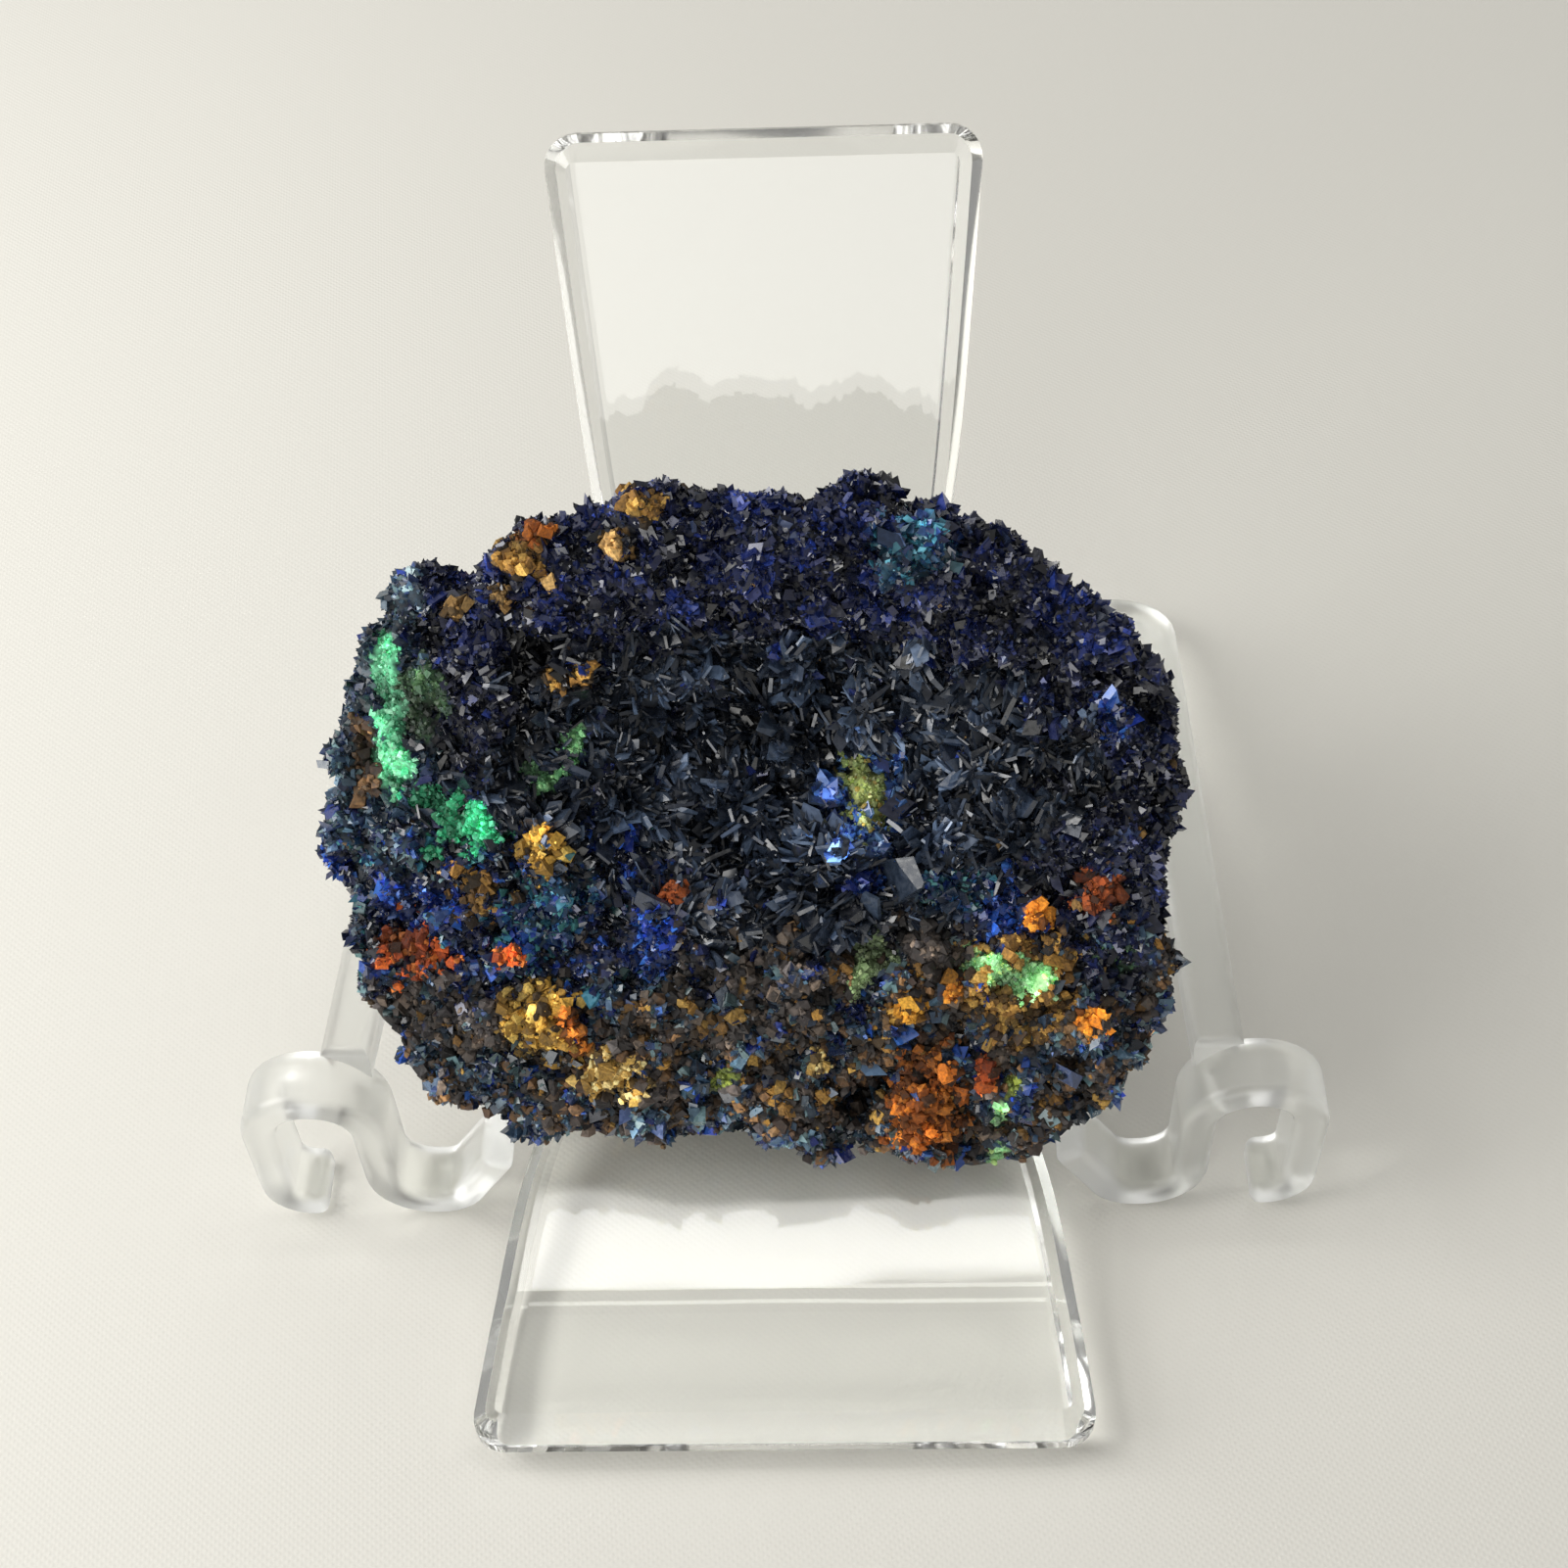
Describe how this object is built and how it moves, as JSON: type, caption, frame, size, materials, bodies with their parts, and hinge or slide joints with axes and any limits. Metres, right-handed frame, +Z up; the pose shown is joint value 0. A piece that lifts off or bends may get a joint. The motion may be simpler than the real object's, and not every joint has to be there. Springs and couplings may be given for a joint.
{
  "type": "azurite specimen",
  "caption": "Slab of dark blue azurite druse with green malachite and orange limonite, leaning on a clear plastic display easel with scroll-ended arms.",
  "frame": {"origin": "on the table, under the middle of the easel's box", "axes": "+Z up, -Y towards the front where the stone's crystals face, +X to the right seen from the front"},
  "size_m": [0.074, 0.0762, 0.0566],
  "materials": {
    "azurite": "satin",
    "clear_plastic": "gloss"
  },
  "bodies": {
    "root": {"azurite_specimen": "azurite", "easel_back": "clear_plastic", "easel_cradle": "clear_plastic"}
  },
  "joints": []
}
